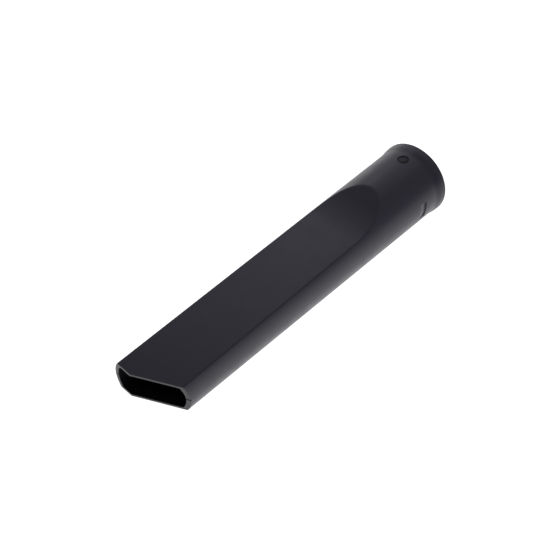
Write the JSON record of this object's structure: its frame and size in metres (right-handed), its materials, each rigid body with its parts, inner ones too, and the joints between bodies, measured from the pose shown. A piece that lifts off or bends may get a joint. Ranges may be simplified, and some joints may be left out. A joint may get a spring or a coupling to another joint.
{
  "type": "crevice nozzle",
  "caption": "One-piece crevice nozzle for a vacuum cleaner: a round push-on collar, a long tube flattened above and below, and an open mouth cut to a blunt point.",
  "frame": {"origin": "middle of the nozzle's bounding box, which lies on the axis of the tube and collar, halfway between the tip of the mouth and the collar's end", "axes": "+X along the tube's axis from the mouth to the collar's end; +Z out of the upper flat, which tilts 0.6 degrees from it; +Y to the left when looking from the mouth to the collar, the side that the tip of the mouth is on"},
  "size_m": [0.222, 0.0404, 0.0404],
  "materials": {
    "black_plastic": "satin moulded polypropylene, very fine grain"
  },
  "bodies": {
    "root": {"nozzle_body": "black_plastic"}
  },
  "joints": []
}
